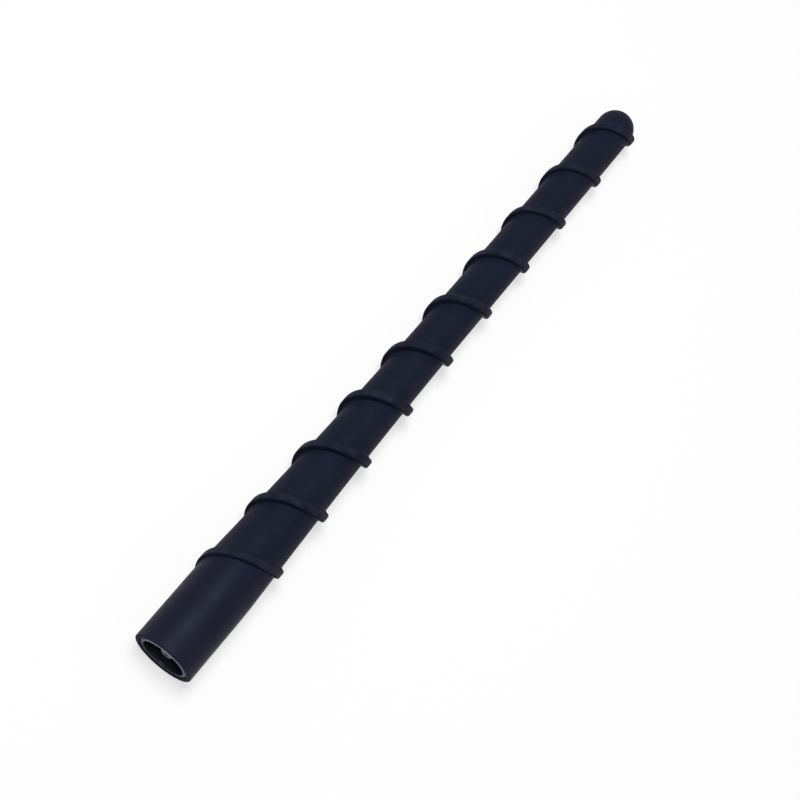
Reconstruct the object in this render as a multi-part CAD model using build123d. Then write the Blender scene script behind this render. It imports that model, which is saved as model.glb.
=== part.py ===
"""Short rubber mast aerial for a car roof, screwed on by the stud in its foot.

The mast stands on +Z with the centre of its open end at the origin. All sizes are in millimetres.
"""

import os
from math import cos, exp, radians, sin, tan

from build123d import *

# Rubber sheath: collar, knee, concave flare, slim mast and dome
overall_length = 180.0
collar_diameter = 14.4
collar_height = 17.0
knee_height = 3.0
knee_drop = 0.12
flare_foot = 28.0
flare_foot_diameter = 13.6
flare_top = 100.0
mast_diameter = 10.1
tip_diameter = 9.56
mouth_chamfer = 0.3

# Helical rib, measured at its crest
rib_pitch = 16.2
rib_start = 16.7
rib_start_angle = 72.0
rib_overrun = 1.2
rib_foot_height = 0.7
rib_tip_height = 0.55
rib_fall = 76.0
rib_fall_power = 1.3
rib_crest_width = 2.3
rib_draft = 10.0
rib_edge_cut = 0.45
rib_depth = 2.3
rib_run_in = 0.25
rib_run_out = 0.3
rib_start_sink = 1.6
rib_end_sink = 2.0
points_per_turn = 16

# Metal foot: cup that lines the socket, spigot with a neck and a head, and fixing stud
ferrule_diameter = 12.3
ferrule_recess = 0.1
ferrule_top = 13.0
rim_chamfer = 0.25
socket_diameter = 10.3
socket_floor = 9.2
neck_diameter = 6.2
neck_height = 8.0
head_diameter = 7.4
spigot_top = 27.0
stud_diameter = 5.0
stud_tip_diameter = 2.5
stud_tip_height = 1.1
stud_relief = 0.8
shank_diameter = 4.0
shank_top = 12.6

# Core: rod, wire wound on it in close turns and sleeve over them
rod_diameter = 4.4
rod_foot = 17.0
rod_cover = 8.8
wire_diameter = 0.5
winding_end = 4.0
sleeve_wall = 0.35
sleeve_end = 3.0

collar_r = collar_diameter / 2
mast_r = mast_diameter / 2
tip_r = tip_diameter / 2
cup_r = ferrule_diameter / 2
stud_r = stud_diameter / 2
shank_r = shank_diameter / 2
rod_r = rod_diameter / 2
winding_r = rod_r + wire_diameter
sleeve_r = winding_r + sleeve_wall
dome_centre = overall_length - tip_r
rod_top = overall_length - rod_cover
sleeve_top = rod_top - sleeve_end
winding_top = sleeve_top - winding_end
neck_top = ferrule_top + neck_height


def turned(*corners):
    """Solid turned about Z from (radius, height) corners."""
    return revolve(Plane.XZ * make_face(Polyline(*corners, close=True)), Axis.Z)


def tube(outer, inner, low, high):
    return turned((inner, low), (outer, low), (outer, high), (inner, high))


def sheath_body():
    """Collar, flare, slim mast and dome, without the rib and with the seam opposite the rib's start."""
    mast = Line((mast_r, flare_top), (tip_r, dome_centre))
    flare = TangentArc(mast @ 0, (flare_foot_diameter / 2, flare_foot), tangent=-(mast % 0))
    dome = RadiusArc(mast @ 1, (0, overall_length), -tip_r)
    foot = Polyline(
        dome @ 1,
        (0, 0),
        (collar_r - mouth_chamfer, 0),
        (collar_r, mouth_chamfer),
        (collar_r, collar_height),
        (collar_r - knee_drop / 2, collar_height + knee_height),
        flare @ 1,
    )
    body = revolve(Plane.XZ * make_face([*foot.edges(), flare, mast, dome]), Axis.Z)
    return body.rotate(Axis.Z, rib_start_angle + 180)


def crest_radius(z):
    """Radius of the rib's crest before it fades at its ends."""
    limit = mast_r + rib_tip_height
    foot = collar_r + rib_foot_height
    return limit + (foot - limit) * exp(-(((z - rib_start) / rib_fall) ** rib_fall_power))


def helical_rib():
    """Rib swept along the helix of its crest, a turn at a time, with both ends sunk in the body."""
    top = dome_centre + rib_overrun
    turns = (top - rib_start) / rib_pitch + rib_run_out / 2
    count = round(turns * points_per_turn)
    points = []
    for i in range(count + 1):
        turn = turns * i / count
        level = max(turn - turns + rib_run_out, 0)
        z = rib_start + rib_pitch * (turn - level**2 / rib_run_out / 2)
        start_sink = rib_start_sink * max(1 - turn / rib_run_in, 0) ** 2
        end_sink = rib_end_sink * max(1 - (turns - turn) / rib_run_out, 0) ** 2
        radius = crest_radius(z) - start_sink - end_sink
        angle = radians(rib_start_angle + 360 * turn)
        points.append((radius * cos(angle), radius * sin(angle), z))
    crest = Spline(*points).edge()
    pieces = round(turns)
    path = Wire([crest.trim(i / pieces, (i + 1) / pieces) for i in range(pieces)])
    half = rib_crest_width / 2
    spread = half + rib_depth * tan(radians(rib_draft))
    section = make_face(
        Polyline(
            (0, rib_edge_cut - half),
            (0, half - rib_edge_cut),
            (-rib_edge_cut, half),
            (-rib_depth, spread),
            (-rib_depth, -spread),
            (-rib_edge_cut, -half),
            close=True,
        )
    )
    out = (cos(radians(rib_start_angle)), sin(radians(rib_start_angle)), 0)
    return sweep(Plane(crest @ 0, x_dir=out, z_dir=crest % 0) * section, path, is_frenet=True)


def ribbed_body():
    """Body and rib as one moulding, the rib joined to the flared part first and to the slim part after it."""
    body = sheath_body()
    top_of_flare = Plane.XY.offset(flare_top)
    flared = split(body, top_of_flare, keep=Keep.BOTTOM)
    slim = split(body, top_of_flare, keep=Keep.TOP)
    return flared + helical_rib() + slim


def spigot():
    """Upper end of the ferrule, a neck under a wider head that the rubber grips."""
    return turned(
        (0, ferrule_top),
        (neck_diameter / 2, ferrule_top),
        (neck_diameter / 2, neck_top),
        (head_diameter / 2, neck_top),
        (head_diameter / 2, spigot_top),
        (0, spigot_top),
    )


def core_space():
    """Room inside the rubber for the ferrule, the sleeve and the bare end of the rod."""
    foot = tube(cup_r, 0, 0, ferrule_top) + spigot()
    return foot + tube(sleeve_r, 0, spigot_top, sleeve_top) + tube(rod_r, 0, sleeve_top, rod_top)


def ferrule():
    """Cup with chamfered rim and a spigot, open below for the stud and above for the rod."""
    cup = turned(
        (0, ferrule_recess),
        (cup_r - rim_chamfer, ferrule_recess),
        (cup_r, ferrule_recess + rim_chamfer),
        (cup_r, ferrule_top),
        (0, ferrule_top),
    )
    socket_r = socket_diameter / 2
    socket = turned(
        (0, ferrule_recess),
        (socket_r + rim_chamfer, ferrule_recess),
        (socket_r, ferrule_recess + rim_chamfer),
        (socket_r, socket_floor),
        (0, socket_floor),
    )
    seats = tube(shank_r, 0, socket_floor, shank_top) + tube(rod_r, 0, rod_foot, spigot_top)
    return cup + spigot() - socket - seats


def stud():
    """Thread at its outer diameter, pointed below and relieved above, on a shank set in the cup's floor."""
    point = stud_tip_diameter / 2
    thread_top = socket_floor - stud_relief
    return turned(
        (0, stud_tip_height),
        (point, stud_tip_height),
        (stud_r, stud_tip_height + stud_r - point),
        (stud_r, thread_top),
        (shank_r, thread_top),
        (shank_r, shank_top),
        (0, shank_top),
    )


nodes = {
    "rubber_sheath": ribbed_body() - core_space(),
    "base_ferrule": ferrule(),
    "threaded_stud": stud(),
    "core_rod": tube(rod_r, 0, rod_foot, rod_top),
    "aerial_winding": tube(winding_r, rod_r, spigot_top, winding_top),
    "shrink_sleeve": tube(sleeve_r, winding_r, spigot_top, winding_top)
    + tube(sleeve_r, rod_r, winding_top, sleeve_top),
}

os.makedirs("parts", exist_ok=True)
for name, shape in nodes.items():
    export_step(shape, f"parts/{name}.step")
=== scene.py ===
"""Short rubber mast aerial with a helical rib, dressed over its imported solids.

Sizes are written in millimetres and turned into metres where a mesh is made.
"""

from math import cos, pi, radians, sin

import bmesh
import bpy
import numpy as np
from mathutils import Matrix, Vector


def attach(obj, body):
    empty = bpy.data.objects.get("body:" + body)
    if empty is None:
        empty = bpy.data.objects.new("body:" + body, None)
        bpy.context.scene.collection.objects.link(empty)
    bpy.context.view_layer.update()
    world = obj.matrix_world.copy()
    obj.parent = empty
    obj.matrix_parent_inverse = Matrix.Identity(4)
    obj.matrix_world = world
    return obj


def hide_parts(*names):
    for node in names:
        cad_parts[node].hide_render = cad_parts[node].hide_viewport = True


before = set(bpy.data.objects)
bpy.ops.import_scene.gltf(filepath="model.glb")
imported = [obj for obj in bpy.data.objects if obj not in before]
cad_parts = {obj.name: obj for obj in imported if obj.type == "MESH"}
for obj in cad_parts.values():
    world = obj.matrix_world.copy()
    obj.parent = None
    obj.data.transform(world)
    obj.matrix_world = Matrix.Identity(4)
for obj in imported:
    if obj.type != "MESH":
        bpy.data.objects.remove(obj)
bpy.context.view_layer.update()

MM = 0.001

# Rubber sheath
LENGTH = 180.0
COLLAR_R = 7.2
COLLAR_TOP = 17.0
KNEE = (7.14, 20.0)
FLARE_FOOT = (6.8, 28.0)
FLARE_TOP = (5.05, 100.0)
TIP_R = 4.78
DOME_CENTRE = LENGTH - TIP_R
MOUTH_ROUND = 0.3
LIP_ROUND = 0.12
MOUTH_TOP = 0.6
TRIM_TOP, TRIM_FADE = 0.24, 0.2
BORE_RING = 1.0
CAP_ANGLE = 0.68
HANDLED_TOP = 32.0

# Rib
PITCH = 16.2
RIB_START = 16.7
START_ANGLE = 72.0
RUN_IN, RUN_OUT = 0.25, 0.3
START_SINK, END_SINK = 1.6, 2.0
RIB_OVERRUN = 1.2
RIB_FOOT_HEIGHT, RIB_TIP_HEIGHT = 0.7, 0.55
RIB_TOP = DOME_CENTRE + RIB_OVERRUN
TURNS = (RIB_TOP - RIB_START) / PITCH + RUN_OUT / 2
CREST_FOOT = COLLAR_R + RIB_FOOT_HEIGHT
CREST_LIMIT = FLARE_TOP[0] + RIB_TIP_HEIGHT
FALL, FALL_POWER = 76.0, 1.3
CREST_HALF = 1.05
DRAFT = radians(12.4)
EDGE_ROUND = 0.45
ROOT_ROUND = 0.3

# Foot
CUP_R = 6.15
SOCKET_R = 5.15
SOCKET_FLOOR = 9.2
SOCKET_ROUND = 0.4
SOCKET_RINGS = (6.0, 3.0)
RIM = 0.1
RIM_ROUND = 0.125
CROWN_DROP = 0.4
FERRULE_TOP = 13.0
NECK_R, NECK_TOP = 3.1, 21.0
HEAD_R, HEAD_TOP = 3.7, 27.0
STUD_R, STUD_POINT, STUD_LOW, STUD_HIGH = 2.5, 1.25, 1.1, 8.4
SHANK_R, SHANK_TOP = 2.0, 12.6
SHANK_CHAMFER = 0.15
RELIEF_CHAMFER = 0.1
THREAD_PITCH = 0.8
THREAD_DEPTH = 0.613 * THREAD_PITCH
POINT_ROUND = 0.12
BARE_END = 0.62
ROD_R, ROD_FOOT, ROD_TOP = 2.2, 17.0, 171.2
SLEEVE_R, SLEEVE_TOP = 3.05, 168.2
WIRE = 0.5


# Meshes

def weave(along, radius, height, angles, shift, low, high):
    """Points and faces of a grid of columns round Z that climbs by shift rows at each turn.

    Rows outside (low, high) shrink into one ring at either end, whose point numbers come back too.
    """
    columns, rows = along.shape
    kept = (along > low[0]) & (along < high[0])
    number = np.cumsum(kept.ravel()).reshape(kept.shape) - 1
    count = int(kept.sum())
    low_ring = count + np.arange(columns)
    high_ring = low_ring + columns
    number = np.where(along <= low[0], low_ring[:, None], number)
    number = np.where(along >= high[0], high_ring[:, None], number)
    turn = np.broadcast_to(angles[:, None], along.shape)
    points = np.stack([radius * np.cos(turn), radius * np.sin(turn), height], -1)[kept]
    points = np.vstack([points, ring(*low[1:], angles), ring(*high[1:], angles)])
    faces = []
    for c in range(columns):
        here = number[c]
        there = number[c + 1] if c + 1 < columns else number[0, shift:]
        n = len(there)
        quads = np.stack([here[: n - 1], there[:-1], there[1:], here[1:n]], -1)
        for quad in quads.tolist():
            corners = list(dict.fromkeys(quad))
            if len(corners) > 2:
                faces.append(corners)
    return points, faces, low_ring, high_ring, kept


def ring(radius, height, angles):
    return np.stack([radius * np.cos(angles), radius * np.sin(angles), np.full(len(angles), height)], -1)


def turn_on(points, faces, last, profile, angles):
    """Carries the surface on from the ring named by last through (radius, height) points.

    It closes on the axis where the profile reaches it.
    """
    for radius, height in profile:
        start = len(points)
        if radius == 0:
            points = np.vstack([points, [(0, 0, height)]])
            faces += [[int(a), int(b), start] for a, b in zip(last, np.roll(last, -1))]
            return points, faces
        points = np.vstack([points, ring(radius, height, angles)])
        new = start + np.arange(len(angles))
        corners = np.stack([last, np.roll(last, -1), np.roll(new, -1), new], -1)
        faces += corners.tolist()
        last = new
    return points, faces


def corner(centre, radius, start, end, steps):
    """Arc of a profile, with its angles in degrees from the radius towards +Z."""
    return [
        (centre[0] + radius * cos(radians(a)), centre[1] + radius * sin(radians(a)))
        for a in np.linspace(start, end, steps + 1)
    ]


def piece(name, points, faces, sharp, values):
    """Mesh object in the row frame, riding on the one body, with named values at its points."""
    mesh = bpy.data.meshes.new(name)
    mesh.from_pydata((np.asarray(points) * MM).tolist(), [], faces)
    for key, value in values.items():
        layer = mesh.attributes.new(key, "FLOAT", "POINT")
        layer.data.foreach_set("value", np.asarray(value, np.float32))
    shape = bmesh.new()
    shape.from_mesh(mesh)
    bmesh.ops.recalc_face_normals(shape, faces=shape.faces)
    shape.to_mesh(mesh)
    shape.free()
    mesh.shade_smooth()
    mesh.set_sharp_from_angle(angle=radians(sharp))
    made = bpy.data.objects.new(name, mesh)
    bpy.context.scene.collection.objects.link(made)
    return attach(made, "root")


def flare_radius(z):
    """Concave arc from the flare's foot that runs out into the slim mast."""
    slope = (TIP_R - FLARE_TOP[0]) / (DOME_CENTRE - FLARE_TOP[1])
    normal = np.array([1, -slope]) / np.hypot(1, slope)
    chord = np.array(FLARE_FOOT) - FLARE_TOP
    bend = chord @ chord / (2 * chord @ normal)
    centre = np.array(FLARE_TOP) + bend * normal
    return centre[0] - np.sqrt(bend**2 - (z - centre[1]) ** 2)


def body_profile(along):
    """Radius and height on the plain sheath, at a distance along its outline from the mouth."""
    margin, step, blur_width = 40, 0.25, 13
    table = np.arange(-margin, DOME_CENTRE + margin, step)
    knees = np.interp(table, [COLLAR_TOP, KNEE[1], FLARE_FOOT[1]], [COLLAR_R, KNEE[0], FLARE_FOOT[0]])
    mast = np.interp(table, [FLARE_TOP[1], DOME_CENTRE], [FLARE_TOP[0], TIP_R])
    flare = flare_radius(np.clip(table, FLARE_FOOT[1], FLARE_TOP[1]))
    plain = np.where(table < FLARE_FOOT[1], knees, np.where(table < FLARE_TOP[1], flare, mast))
    blur = np.hanning(blur_width)
    soft = np.convolve(plain, blur / blur.sum(), "same")
    sound = slice(blur_width, -blur_width)
    bend = np.clip((along - DOME_CENTRE) / TIP_R, 0, pi / 2)
    radius = np.where(bend > 0, TIP_R * np.cos(bend), np.interp(along, table[sound], soft[sound]))
    return radius, np.where(bend > 0, DOME_CENTRE + TIP_R * np.sin(bend), along)


def rib_centre(turn):
    """Height of the rib's middle, and its rise per turn, which levels out at the top end."""
    level = turn - TURNS + RUN_OUT
    past = np.clip(turn - TURNS, 0, RUN_OUT)
    rise = np.where(level > 0, np.clip(1 - level / RUN_OUT, 0, 1), 1) + past / RUN_OUT
    curve = np.clip(level, 0, RUN_OUT)
    lag = curve**2 / RUN_OUT / 2 + past - past**2 / RUN_OUT / 2
    return RIB_START + PITCH * (turn - lag), PITCH * rise


def rib_crest(turn, height):
    """Radius of the rib's crest, sunk into the sheath at both ends."""
    fall = np.exp(-((np.clip(height - RIB_START, 0, None) / FALL) ** FALL_POWER))
    sink = START_SINK * np.clip(1 - turn / RUN_IN, 0, None) ** 2
    sink += END_SINK * np.clip(1 - (TURNS - turn) / RUN_OUT, 0, None) ** 2
    return CREST_LIMIT + (CREST_FOOT - CREST_LIMIT) * fall - sink


def ribbed_radius(plain, crest, offset):
    """Outer radius at an offset from the rib's middle line.

    The rib is drafted, its edges are rounded and a fillet runs it into the sheath.
    """

    def outside(radius):
        over = radius - crest
        top = over + EDGE_ROUND
        side = (np.abs(offset) - CREST_HALF) * cos(DRAFT) + over * sin(DRAFT) + EDGE_ROUND
        rib = np.minimum(np.maximum(top, side), 0) - EDGE_ROUND
        rib += np.hypot(np.maximum(top, 0), np.maximum(side, 0))
        sheath = radius - plain
        bite = np.hypot(np.maximum(ROOT_ROUND - sheath, 0), np.maximum(ROOT_ROUND - rib, 0))
        return np.maximum(ROOT_ROUND, np.minimum(sheath, rib)) - bite

    below, above, halvings = 0.3, 0.6, 40
    low, high = plain - below, np.maximum(plain, crest) + above
    for _ in range(halvings):
        middle = (low + high) / 2
        out = outside(middle) > 0
        low, high = np.where(out, low, middle), np.where(out, middle, high)
    return (low + high) / 2


def sheath():
    """Rubber moulding on a grid that follows the rib, with close rows at the rib's edges."""
    columns, dome_rows = 80, 14
    laps = np.arange(-2, 12)
    low_rib = 0.3
    beside = np.array(
        [0, 0.3, 0.5, 0.62, 0.7, 0.77, 0.83, 0.88, 0.93, 0.97, 1.01, 1.05, 1.09, 1.13, 1.17, 1.21]
        + [1.25, 1.29, 1.33, 1.38, 1.44, 1.52, 1.64, 1.82, 2.2]
    )
    between = np.array([0.12, 0.31, 0.5, 0.69, 0.88])
    turns = np.arange(columns)[:, None] / columns + laps[None, :]
    sides = []
    for step in (0, 1):
        turn = turns + step
        height, rise = rib_centre(turn)
        crest = rib_crest(turn, height)
        sides.append((height, crest, np.cos(np.arctan(rise / (2 * pi * np.maximum(crest, TIP_R))))))
    (z0, crest0, cos0), (z1, crest1, cos1) = [[v[..., None] for v in side] for side in sides]
    above = z0 + beside / cos0
    below = z1 - beside[:0:-1] / cos1
    valley = above[..., -1:] + (below[..., :1] - above[..., -1:]) * between
    along = np.concatenate([above, valley, below], -1)
    upper = np.arange(along.shape[-1]) >= len(beside) + len(between) // 2
    plain, height = body_profile(along)
    offset = np.where(upper, (height - z1) * cos1, (height - z0) * cos0)
    crest = np.where(upper, crest1, crest0)
    radius = ribbed_radius(plain, crest, offset)
    # Height up the rib, which sets the crest's wear and the flanks' painted shade in the rubber
    wear_and_shade = np.clip((radius - plain) / np.clip(crest - plain, low_rib, None), 0, 1)
    rows = along.shape[-1]
    along, radius, height, wear_and_shade = (v.reshape(columns, -1) for v in (along, radius, height, wear_and_shade))
    angles = np.radians(START_ANGLE) + 2 * pi * np.arange(columns) / columns
    cap = DOME_CENTRE + CAP_ANGLE * TIP_R
    cap_ring = [float(v) for v in body_profile(np.array(cap))]
    points, faces, low, high, kept = weave(
        along, radius, height, angles, rows, (MOUTH_TOP, COLLAR_R, MOUTH_TOP), (cap, *cap_ring)
    )
    mouth = (
        corner((COLLAR_R - MOUTH_ROUND, MOUTH_ROUND), MOUTH_ROUND, 0, -90, 8)
        + corner((CUP_R + LIP_ROUND, LIP_ROUND), LIP_ROUND, -90, -180, 4)
        + [(CUP_R, BORE_RING), (CUP_R, FERRULE_TOP), (NECK_R, FERRULE_TOP), (NECK_R, NECK_TOP)]
        + [(HEAD_R, NECK_TOP), (HEAD_R, HEAD_TOP), (SLEEVE_R, HEAD_TOP), (SLEEVE_R, SLEEVE_TOP)]
        + [(ROD_R, SLEEVE_TOP), (ROD_R, ROD_TOP), (0, ROD_TOP)]
    )
    points, faces = turn_on(points, faces, low, mouth, angles)
    dome = [
        (TIP_R * cos(a), DOME_CENTRE + TIP_R * sin(a))
        for a in np.linspace(CAP_ANGLE, pi / 2, dome_rows)[1:-1]
    ]
    points, faces = turn_on(points, faces, high, dome + [(0, LENGTH)], angles)
    wear_and_shade = np.concatenate([wear_and_shade[kept], np.zeros(len(points) - kept.sum())])
    trimmed = np.clip((TRIM_TOP - points[:, 2]) / TRIM_FADE, 0, 1)
    values = {"wear_and_shade": wear_and_shade, "trimmed": trimmed}
    made = piece("sheath_moulding", points, faces, sharp=40, values=values)
    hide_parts("rubber_sheath")
    return made


def lathe(name, profile, segments, sharp, wear_and_shade):
    """Solid turned about Z from an outline that starts and ends on the axis, with each point's wear."""
    angles = 2 * pi * np.arange(segments) / segments
    points = np.vstack([[(0, 0, profile[0][1])], ring(*profile[1], angles)])
    last = 1 + np.arange(segments)
    faces = [[0, int(b), int(a)] for a, b in zip(last, np.roll(last, -1))]
    points, faces = turn_on(points, faces, last, profile[2:], angles)
    around = np.array([1] + [segments] * (len(profile) - 2) + [1])
    return piece(name, points, faces, sharp, {"wear_and_shade": np.repeat(wear_and_shade, around)})


def ferrule():
    """Turned cup and spigot, with its plating scuffed off the inner edge of the rim."""
    crown_rows = 10
    socket = (
        [(0, SHANK_TOP), (SHANK_R, SHANK_TOP)]
        + [(SHANK_R, SOCKET_FLOOR + SHANK_CHAMFER), (SHANK_R + SHANK_CHAMFER, SOCKET_FLOOR)]
        + corner((SOCKET_R - SOCKET_ROUND, SOCKET_FLOOR - SOCKET_ROUND), SOCKET_ROUND, 90, 0, 6)
        + [(SOCKET_R, height) for height in SOCKET_RINGS]
    )
    rim_r = SOCKET_R + RIM_ROUND
    inner = corner((rim_r, RIM + RIM_ROUND), RIM_ROUND, 180, 270, 4)
    outer = [
        (rim_r + (CUP_R - rim_r) * sin(a), RIM + CROWN_DROP * (1 - cos(a)))
        for a in np.linspace(0, pi / 2, crown_rows)[1:]
    ]
    rim = inner + outer
    spigot = (
        [(CUP_R, FERRULE_TOP), (NECK_R, FERRULE_TOP), (NECK_R, NECK_TOP), (HEAD_R, NECK_TOP)]
        + [(HEAD_R, HEAD_TOP), (ROD_R, HEAD_TOP), (ROD_R, ROD_FOOT), (0, ROD_FOOT)]
    )
    rubbed_and_shaded = np.interp(range(len(rim)), [0, 3, 6, 7], [0, 1, 1, 0])
    wear_and_shade = [0] * len(socket) + rubbed_and_shaded.tolist() + [0] * len(spigot)
    made = lathe("ferrule_turning", socket + rim + spigot, segments=96, sharp=30, wear_and_shade=wear_and_shade)
    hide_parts("base_ferrule")
    return made


def stud():
    """Right-handed thread with flat crests and roots, a chamfered point and a bare ring on its end."""
    columns, worn_rings = 64, 3
    laps = np.arange(-1, 14)
    shape = np.array([(0.0, 1), (0.0625, 1), (0.15, 0.72), (0.25, 0.4), (0.345, 0.1), (0.375, 0)])
    shape = np.vstack([shape, (0.5, 0), np.column_stack([1 - shape[:0:-1, 0], shape[:0:-1, 1]])])
    turns = np.arange(columns)[:, None] / columns + laps[None, :]
    along = (STUD_LOW + THREAD_PITCH * (turns[..., None] + shape[:, 0])).reshape(columns, -1)
    crest = np.broadcast_to(shape[:, 1], (*turns.shape, len(shape))).reshape(columns, -1)
    radius = STUD_R - THREAD_DEPTH * (1 - crest)
    radius = np.minimum(radius, STUD_POINT + np.clip(along - STUD_LOW, 0, None))
    angles = 2 * pi * np.arange(columns) / columns
    points, faces, low, high, _ = weave(
        along,
        radius,
        along,
        angles,
        len(shape),
        (STUD_LOW + POINT_ROUND, STUD_POINT + POINT_ROUND / 2, STUD_LOW + POINT_ROUND),
        (STUD_HIGH, SHANK_R + RELIEF_CHAMFER, STUD_HIGH),
    )
    woven = len(points)
    end = [(STUD_POINT, STUD_LOW + POINT_ROUND / 3), (STUD_POINT - POINT_ROUND, STUD_LOW)]
    end += [(BARE_END, STUD_LOW), (BARE_END - POINT_ROUND, STUD_LOW), (0, STUD_LOW)]
    points, faces = turn_on(points, faces, low, end, angles)
    shank = [(SHANK_R, STUD_HIGH + RELIEF_CHAMFER), (SHANK_R, SHANK_TOP), (0, SHANK_TOP)]
    points, faces = turn_on(points, faces, high, shank, angles)
    bare = np.zeros(len(points))
    bare[low] = 1
    bare[woven : woven + worn_rings * columns] = 0.5
    made = piece("stud_thread", points, faces, sharp=25, values={"wear_and_shade": bare})
    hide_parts("threaded_stud")
    return made


# Materials

RUBBER_SHEEN = (0.72, 0.79, 1, 1)
RUBBER_DARK, RUBBER_LIGHT = (0.0043, 0.0056, 0.0145, 1), (0.006, 0.0076, 0.0183, 1)
COLLAR_DARK, COLLAR_LIGHT = (0.0061, 0.0069, 0.0173, 1), (0.0086, 0.0095, 0.022, 1)
# Painted shade: the darker colour of the rib's flanks
PAINTED_FLANK_SHADE = (0.0034, 0.0043, 0.0112, 1)
RUBBED_CREST = (0.0185, 0.02, 0.034, 1)
STREAK = (0.014, 0.0152, 0.029, 1)
METAL_SHEEN = (0.64, 0.65, 0.72, 1)
BARE_METAL = (0.25, 0.256, 0.315, 1)
CUP_DARK, CUP_LIGHT = (0.024, 0.025, 0.036, 1), (0.044, 0.046, 0.062, 1)
STUD_DARK, STUD_LIGHT = (0.016, 0.016, 0.02, 1), (0.032, 0.032, 0.039, 1)
FIBRE_DARK, FIBRE_LIGHT = (0.6, 0.57, 0.42, 1), (0.74, 0.72, 0.6, 1)
COPPER_DARK, COPPER_LIGHT = (0.24, 0.07, 0.025, 1), (0.6, 0.24, 0.1, 1)
SLEEVE_DARK, SLEEVE_LIGHT = (0.02, 0.02, 0.02, 1), (0.035, 0.035, 0.037, 1)
PALE = (0.97, 0.97, 0.97, 1)


class Shader:
    """Node material with one Principled shader, and short ways to add to it."""

    def __init__(self, name, **sockets):
        self.material = bpy.data.materials.new(name)
        self.material.use_nodes = True
        self.tree = self.material.node_tree
        self.main = self.tree.nodes["Principled BSDF"]
        for key, value in sockets.items():
            self.main.inputs[key.replace("_", " ")].default_value = value
        self.place = self.node("ShaderNodeTexCoord").outputs["Object"]

    def node(self, kind, links=(), **values):
        made = self.tree.nodes.new(kind)
        for key, value in values.items():
            setattr(made, key, value)
        for key, source in dict(links).items():
            target = made.inputs[key]
            if isinstance(source, bpy.types.NodeSocket):
                self.tree.links.new(source, target)
            else:
                target.default_value = source
        return made

    def noise(self, scale, detail, stretch=(1, 1, 1), rough=0.5):
        spread = self.node("ShaderNodeMapping", {"Vector": self.place, "Scale": stretch})
        made = self.node(
            "ShaderNodeTexNoise",
            {"Vector": spread.outputs[0], "Scale": scale, "Detail": detail, "Roughness": rough},
        )
        return made.outputs["Fac"]

    def limits(self, value, low, high, to_low=0.0, to_high=1.0):
        made = self.node(
            "ShaderNodeMapRange",
            {"Value": value, "From Min": low, "From Max": high, "To Min": to_low, "To Max": to_high},
            clamp=True,
        )
        return made.outputs[0]

    def maths(self, operation, a, b):
        return self.node("ShaderNodeMath", {0: a, 1: b}, operation=operation).outputs[0]

    def mix(self, factor, a, b):
        made = self.node("ShaderNodeMix", data_type="RGBA")
        for socket, source in ((0, factor), (6, a), (7, b)):
            if isinstance(source, bpy.types.NodeSocket):
                self.tree.links.new(source, made.inputs[socket])
            else:
                made.inputs[socket].default_value = source
        return made.outputs[2]

    def bump(self, height, distance, strength, under=None):
        links = {"Height": height, "Distance": distance, "Strength": strength}
        if under:
            links["Normal"] = under
        return self.node("ShaderNodeBump", links).outputs[0]

    def wire(self, socket, source):
        self.tree.links.new(source, self.main.inputs[socket])


def rubber():
    """Moulded rubber, greyer and smoother on the handled collar, scuffed on the rib's crest.

    The rib's flanks are painted darker as shade, and they and the cut end are duller.
    """
    made = Shader("moulded_rubber", IOR=1.5, Specular_IOR_Level=0.108, Specular_Tint=RUBBER_SHEEN)
    cloud = made.limits(made.noise(70, 4), 0.35, 0.68)
    plain = made.mix(cloud, RUBBER_DARK, RUBBER_LIGHT)
    height = made.node("ShaderNodeSeparateXYZ", {"Vector": made.place}).outputs["Z"]
    handled = made.limits(height, COLLAR_TOP * MM, HANDLED_TOP * MM, 1, 0)
    collar = made.mix(cloud, COLLAR_DARK, COLLAR_LIGHT)
    colour = made.mix(handled, plain, collar)
    rubbed_and_shaded = made.node("ShaderNodeAttribute", attribute_name="wear_and_shade").outputs["Fac"]
    # Mask of the rib's flanks, which get painted shade in their colour and a matt finish
    flank_shade_and_matt = made.maths("MULTIPLY", made.limits(rubbed_and_shaded, 0.1, 0.3), made.limits(rubbed_and_shaded, 0.85, 1, 1, 0))
    colour = made.mix(flank_shade_and_matt, colour, PAINTED_FLANK_SHADE)
    patches = made.limits(made.noise(420, 3), 0.42, 0.72)
    rub = made.maths("MULTIPLY", made.limits(rubbed_and_shaded, 0.75, 1.0, 0, 0.75), patches)
    colour = made.mix(rub, colour, RUBBED_CREST)
    streaks = made.limits(made.noise(900, 3, (1, 1, 0.06)), 0.6, 0.8, 0, 0.35)
    colour = made.mix(streaks, colour, STREAK)
    made.wire("Base Color", colour)
    grain = made.noise(2600, 3, rough=0.6)
    moulded = made.limits(made.noise(340, 4), 0.3, 0.7, 0.6, 0.7)
    rough = made.maths("SUBTRACT", moulded, made.maths("MULTIPLY", handled, 0.12))
    trimmed = made.node("ShaderNodeAttribute", attribute_name="trimmed").outputs["Fac"]
    matt = made.maths("MULTIPLY", made.maths("MAXIMUM", trimmed, flank_shade_and_matt), 0.3)
    made.wire("Roughness", made.maths("ADD", rough, matt))
    soft = made.bump(made.noise(260, 2), 0.00006, 0.25)
    made.wire("Normal", made.bump(grain, 0.00003, 0.35, soft))
    return made.material


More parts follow.
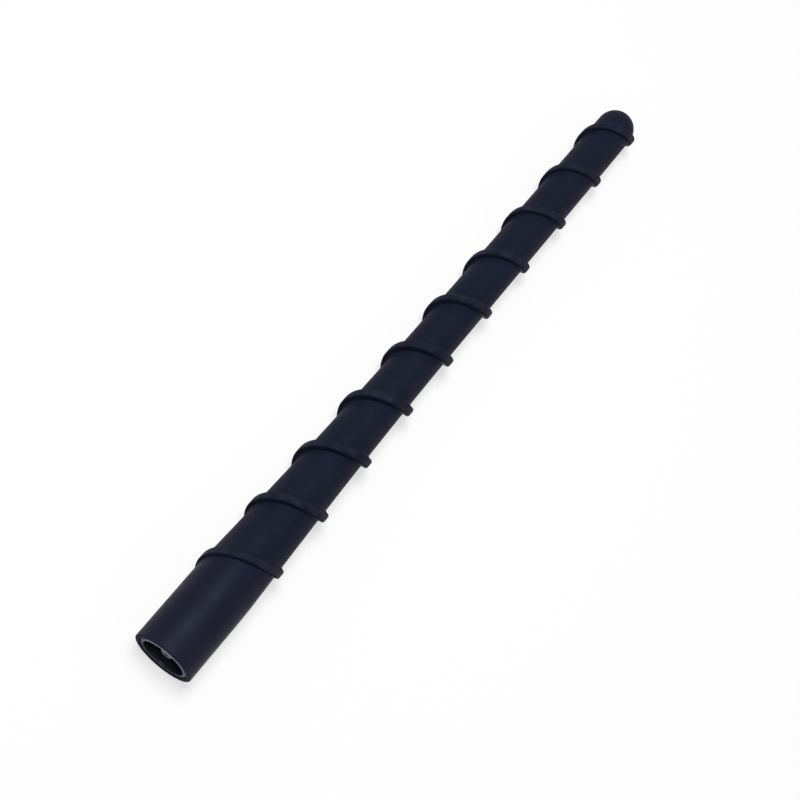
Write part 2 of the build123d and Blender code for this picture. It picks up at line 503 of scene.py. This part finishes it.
def turned_metal(name, dark, light, rough, rings, painted_shade_y):
    """Metal with fine rings from the lathe and a faint bloom. Bare edges are painted darker towards +Y as
    shade.
    """
    made = Shader(name, Metallic=1.0, Specular_Tint=METAL_SHEEN)
    bloom = made.limits(made.noise(600, 4), 0.35, 0.7)
    edges = made.node("ShaderNodeAttribute", attribute_name="wear_and_shade").outputs["Fac"]
    across = made.node("ShaderNodeSeparateXYZ", {"Vector": made.place}).outputs["Y"]
    # Painted shade: the bare edges darken towards +Y, the side that faces the table
    rubbed_and_shaded = made.maths("MULTIPLY", edges, made.limits(across, *painted_shade_y, 1, 0))
    made.wire("Base Color", made.mix(rubbed_and_shaded, made.mix(bloom, dark, light), BARE_METAL))
    lines = made.noise(rings, 3, (0.04, 0.04, 1))
    made.wire("Roughness", made.limits(lines, 0.3, 0.7, rough, rough + 0.14))
    made.wire("Normal", made.bump(lines, 0.00002, 0.3))
    return made.material


def glass_fibre():
    """Drawn rod with strands along it."""
    made = Shader("drawn_glass_fibre", IOR=1.52)
    strands = made.limits(made.noise(3000, 3, (1, 1, 0.01)), 0.35, 0.65)
    made.wire("Base Color", made.mix(strands, FIBRE_DARK, FIBRE_LIGHT))
    made.wire("Roughness", made.limits(strands, 0, 1, 0.35, 0.5))
    made.wire("Normal", made.bump(strands, 0.00001, 0.3))
    return made.material


def wound_copper():
    """Close turns of enamelled wire, one band to a turn."""
    made = Shader("enamelled_copper_turns", Metallic=1.0)
    turns = made.node(
        "ShaderNodeTexWave",
        {"Vector": made.place, "Scale": pi / (20 * WIRE * MM), "Distortion": 0.0},
        bands_direction="Z",
    ).outputs["Fac"]
    made.wire("Base Color", made.mix(turns, COPPER_DARK, COPPER_LIGHT))
    made.wire("Roughness", made.limits(turns, 0, 1, 0.45, 0.28))
    made.wire("Normal", made.bump(turns, 0.0002, 0.8))
    return made.material


def shrunk_plastic():
    """Thin sleeve with faint ripples from the shrinking."""
    made = Shader("shrunk_sleeve", IOR=1.5)
    ripple = made.noise(300, 3, (1, 1, 0.4))
    tone = made.limits(ripple, 0.3, 0.7)
    made.wire("Base Color", made.mix(tone, SLEEVE_DARK, SLEEVE_LIGHT))
    made.wire("Roughness", made.limits(ripple, 0.3, 0.7, 0.35, 0.5))
    made.wire("Normal", made.bump(ripple, 0.0001, 0.3))
    return made.material


def paint(target, material):
    target.data.materials.clear()
    target.data.materials.append(material)


paint(sheath(), rubber())
# Painted shade: the last pair is the Y span over which the bare rim is coloured darker
paint(
    ferrule(),
    turned_metal("dark_plated_metal", CUP_DARK, CUP_LIGHT, rough=0.32, rings=1800, painted_shade_y=(-0.0055, 0.0005)),
)
# Painted shade: the last pair is the Y span over which the stud's bare end is coloured darker
paint(
    stud(),
    turned_metal("dark_plated_stud", STUD_DARK, STUD_LIGHT, rough=0.4, rings=2600, painted_shade_y=(0.002, 0.005)),
)
for node, material in (
    ("core_rod", glass_fibre()),
    ("aerial_winding", wound_copper()),
    ("shrink_sleeve", shrunk_plastic()),
):
    paint(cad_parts[node], material)


# Stage, light and camera

def background_ray(tree):
    """1 on rays that show the background, straight or in a reflection."""
    path = tree.nodes.new("ShaderNodeLightPath")
    total = path.outputs["Is Camera Ray"]
    for name in ("Is Glossy Ray", "Is Transmission Ray"):
        most = tree.nodes.new("ShaderNodeMath")
        most.operation = "MAXIMUM"
        tree.links.new(total, most.inputs[0])
        tree.links.new(path.outputs[name], most.inputs[1])
        total = most.outputs[0]
    return total


def pale_surface(name, glow):
    """Matt white that shows from its front only.

    A share of it glows on rays that show the background, so its shadow stays light.
    """
    material = bpy.data.materials.new(name)
    material.use_nodes = True
    tree = material.node_tree
    tree.nodes.clear()
    new, link = tree.nodes.new, tree.links.new
    matt = new("ShaderNodeBsdfDiffuse")
    matt.inputs["Color"].default_value = PALE
    share = new("ShaderNodeMath")
    share.operation = "MULTIPLY"
    share.inputs[1].default_value = glow
    link(background_ray(tree), share.inputs[0])
    front = new("ShaderNodeMixShader")
    link(share.outputs[0], front.inputs[0])
    link(matt.outputs[0], front.inputs[1])
    link(new("ShaderNodeEmission").outputs[0], front.inputs[2])
    sides = new("ShaderNodeMixShader")
    link(new("ShaderNodeNewGeometry").outputs["Backfacing"], sides.inputs[0])
    link(front.outputs[0], sides.inputs[1])
    link(new("ShaderNodeBsdfTransparent").outputs[0], sides.inputs[2])
    link(sides.outputs[0], new("ShaderNodeOutputMaterial").inputs["Surface"])
    return material


def sheet_of(name, centre, normal, size, material):
    mesh = bpy.data.meshes.new(name)
    half = size / 2
    corners = [(-half, -half, 0), (half, -half, 0), (half, half, 0), (-half, half, 0)]
    mesh.from_pydata(corners, [], [(0, 1, 2, 3)])
    mesh.materials.append(material)
    made = bpy.data.objects.new(name, mesh)
    turn = Vector(normal).to_track_quat("Z", "X").to_matrix().to_4x4()
    made.matrix_world = Matrix.Translation(centre) @ turn
    bpy.context.scene.collection.objects.link(made)
    return made


STAGE = 30.0
# The mast lies on the table, on two turns of its rib, and stands on the floor
TABLE_PLACE, TABLE_NORMAL = (0, 0.0069, 0.09), (0, -1, -0.0137)
FLOOR_PLACE, FLOOR_NORMAL = (0, 0, -0.0002), (0, 0, 1)
TABLE_GLOW, FLOOR_GLOW = 0.65, 0.85
table = sheet_of("pale_table", TABLE_PLACE, TABLE_NORMAL, STAGE, pale_surface("pale_table", TABLE_GLOW))
table.visible_shadow = False
floor = sheet_of("pale_floor", FLOOR_PLACE, FLOOR_NORMAL, STAGE, pale_surface("pale_floor", FLOOR_GLOW))
floor.visible_diffuse = floor.visible_glossy = floor.visible_transmission = floor.visible_shadow = False

# The world lights the mast at this strength, and shows behind it at 1
WORLD_LIGHT = 0.27
world = bpy.data.worlds.new("studio")
bpy.context.scene.world = world
world.use_nodes = True
sky = world.node_tree.nodes["Background"]
level = world.node_tree.nodes.new("ShaderNodeMapRange")
level.inputs["To Min"].default_value = WORLD_LIGHT
world.node_tree.links.new(background_ray(world.node_tree), level.inputs["Value"])
world.node_tree.links.new(level.outputs[0], sky.inputs["Strength"])
sky.inputs["Color"].default_value = (1, 1, 1, 1)


LIGHT_AIM = (0, 0, 0.08)


def softbox(name, place, size, power):
    """Round soft lamp that faces the mast."""
    data = bpy.data.lights.new(name, "AREA")
    data.shape = "DISK"
    data.size = size
    data.energy = power
    made = bpy.data.objects.new(name, data)
    made.location = place
    made.rotation_mode = "QUATERNION"
    made.rotation_quaternion = (Vector(LIGHT_AIM) - made.location).to_track_quat("-Z", "Y")
    bpy.context.scene.collection.objects.link(made)


softbox("key", place=(-0.08, -0.72, 0.08), size=0.3, power=4.3)
softbox("back", place=(0.1, 0.72, 0.12), size=0.4, power=3.0)

# The photo's view, from in front of the mast and below its mouth
SENSOR = 36.0
FOCAL_PIXELS, PICTURE_PIXELS = 1617.6, 800
CAMERA_PLACE = (0.00281, -0.32409, -0.08111)
CAMERA_RIGHT = (0.7630, -0.28638, 0.57950)
CAMERA_FORWARD = (0, 0.89650, 0.44304)
view = bpy.data.cameras.new("photo_view")
view.sensor_width = SENSOR
view.lens = SENSOR * FOCAL_PIXELS / PICTURE_PIXELS
view.clip_start = 0.01
camera = bpy.data.objects.new("photo_view", view)
right = Vector(CAMERA_RIGHT).normalized()
forward = Vector(CAMERA_FORWARD).normalized()
up = right.cross(forward).normalized()
turn = Matrix((right, up, -forward)).transposed().to_4x4()
camera.matrix_world = Matrix.Translation(CAMERA_PLACE) @ turn
bpy.context.scene.collection.objects.link(camera)
bpy.context.scene.camera = camera

bpy.context.scene.view_settings.view_transform = "Standard"
